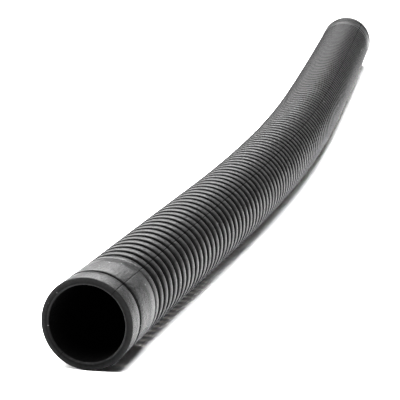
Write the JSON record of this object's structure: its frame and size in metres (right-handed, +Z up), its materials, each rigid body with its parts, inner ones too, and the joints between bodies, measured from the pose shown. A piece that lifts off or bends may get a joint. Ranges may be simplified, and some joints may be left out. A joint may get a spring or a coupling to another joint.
{
  "type": "pool vacuum hose section",
  "caption": "Black ribbed pool vacuum hose section with a smooth push-on cuff moulded at each end, lying in a gentle curve.",
  "frame": {"origin": "centre of the bounding box's bottom face, on the ground below the hose", "axes": "+Y along the hose from the near mouth to the far mouth, +Z up from the ground"},
  "size_m": [0.0701, 1.0045, 0.046],
  "materials": {
    "cuff_black": "satin moulded plastic with fine mottling",
    "rib_black": "satin moulded plastic, ribbed"
  },
  "bodies": {
    "near_middle": {"near_middle_hose_a": "rib_black", "near_middle_hose_b": "rib_black", "near_flex": "rib_black", "middle_flex": "rib_black"},
    "near_end": {"near_cuff": "cuff_black", "near_end_hose_a": "rib_black", "near_end_hose_b": "rib_black"},
    "far_middle": {"far_middle_hose_a": "rib_black", "far_middle_hose_b": "rib_black", "far_flex": "rib_black"},
    "far_end": {"far_end_hose_a": "rib_black", "far_end_hose_b": "rib_black", "far_cuff": "cuff_black"}
  },
  "joints": [
    {"name": "near_bend", "type": "hinge", "parent": "near_middle", "child": "near_end", "pos_m": [0.00173, -0.30227, 0.023], "axis": [0, 0, -1], "range_deg": [-40, 40], "stiffness_Nm_per_rad": 0.4, "deforming": ["near_flex"]},
    {"name": "middle_bend", "type": "hinge", "parent": "near_middle", "child": "far_middle", "pos_m": [0.01196, 0.00006, 0.023], "axis": [0, 0, 1], "range_deg": [-40, 40], "stiffness_Nm_per_rad": 0.4, "deforming": ["middle_flex"]},
    {"name": "far_bend", "type": "hinge", "parent": "far_middle", "child": "far_end", "pos_m": [-0.00101, 0.3024, 0.023], "axis": [0, 0, 1], "range_deg": [-40, 40], "stiffness_Nm_per_rad": 0.4, "deforming": ["far_flex"]}
  ]
}
